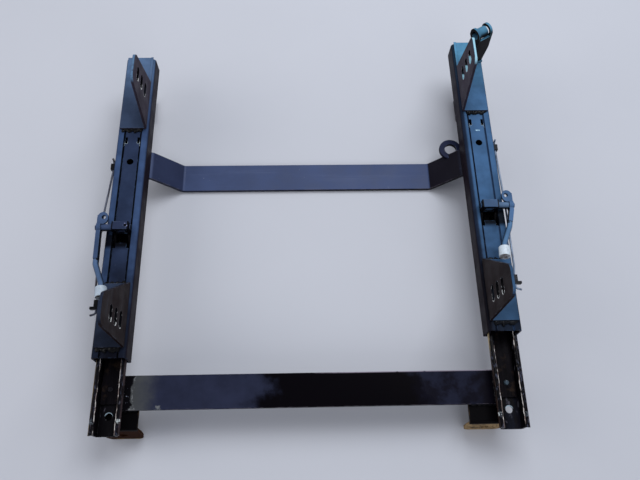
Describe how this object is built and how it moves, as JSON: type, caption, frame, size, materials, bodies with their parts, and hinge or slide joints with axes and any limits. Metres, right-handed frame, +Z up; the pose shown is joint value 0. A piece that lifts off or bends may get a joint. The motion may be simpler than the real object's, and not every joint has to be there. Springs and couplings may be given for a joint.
{
  "type": "seat slide rail",
  "caption": "Seat slide rail frame: roll-formed rails on flat cross bars, with slotted side brackets, sprung lock levers, floor feet, a belt ring and a buckle stay.",
  "frame": {"origin": "on the floor plane, half way between the two rear floor bolts", "axes": "+Z up, -Y towards the front of the seat, +X towards the side with the buckle stay"},
  "size_m": [0.5006, 0.509, 0.163],
  "materials": {
    "rail_black": "semi-gloss black paint with a blue cast",
    "bracket_black": "semi-gloss black paint",
    "greased_black": "greasy glossy black with bare edges",
    "rack_steel": "oily dark steel",
    "bar_black": "satin black paint, worn at the ends",
    "worn_foot": "worn paint with rust",
    "bare_steel": "dull bare steel",
    "bush_white": "white plastic",
    "glide_plastic": "natural plastic"
  },
  "bodies": {
    "frame": {"left_lower_rail": "greased_black", "right_lower_rail": "greased_black", "left_lock_rack": "rack_steel", "right_lock_rack": "rack_steel", "left_rack_rivets": "rack_steel", "right_rack_rivets": "rack_steel", "left_front_foot": "worn_foot", "right_front_foot": "worn_foot", "left_rear_foot": "rail_black", "right_rear_foot": "rail_black", "front_cross_bar": "bar_black", "rear_cross_bar": "bar_black", "belt_ring": "bracket_black"},
    "left_slider": {"left_upper_rail": "rail_black", "left_front_bracket": "bracket_black", "left_rear_bracket": "bracket_black", "left_glides": "glide_plastic", "left_pivot_saddle": "rail_black", "left_pivot_pin": "bare_steel", "left_return_spring": "bare_steel", "left_spring_clip": "rail_black", "left_spring_tab": "rail_black"},
    "right_slider": {"right_upper_rail": "rail_black", "right_front_bracket": "bracket_black", "right_rear_bracket": "bracket_black", "right_glides": "glide_plastic", "right_pivot_saddle": "rail_black", "right_pivot_pin": "bare_steel", "right_return_spring": "bare_steel", "right_spring_clip": "rail_black", "right_spring_tab": "rail_black", "buckle_stay": "bracket_black", "buckle_collar": "bracket_black"},
    "left_lever": {"left_lock_claw": "rail_black", "left_pivot_sleeve": "rail_black", "left_lever_arm": "rail_black", "left_lever_rod": "rail_black", "left_lever_bush": "bush_white"},
    "right_lever": {"right_lock_claw": "rail_black", "right_pivot_sleeve": "rail_black", "right_lever_arm": "rail_black", "right_lever_rod": "rail_black", "right_lever_bush": "bush_white"}
  },
  "joints": [
    {"name": "left_slide", "type": "slide", "parent": "frame", "child": "left_slider", "axis": [0, 1, 0], "range_m": [-0.072, 0.12]},
    {"name": "right_slide", "type": "slide", "parent": "frame", "child": "right_slider", "axis": [0, 1, 0], "range_m": [-0.096, 0.096]},
    {"name": "left_lock", "type": "hinge", "parent": "left_slider", "child": "left_lever", "pos_m": [-0.22025, -0.213, 0.074], "axis": [-1, 0, 0], "range_deg": [-6, 10], "stiffness_Nm_per_rad": 2},
    {"name": "right_lock", "type": "hinge", "parent": "right_slider", "child": "right_lever", "pos_m": [0.22025, -0.189, 0.074], "axis": [-1, 0, 0], "range_deg": [-6, 10], "stiffness_Nm_per_rad": 2}
  ]
}
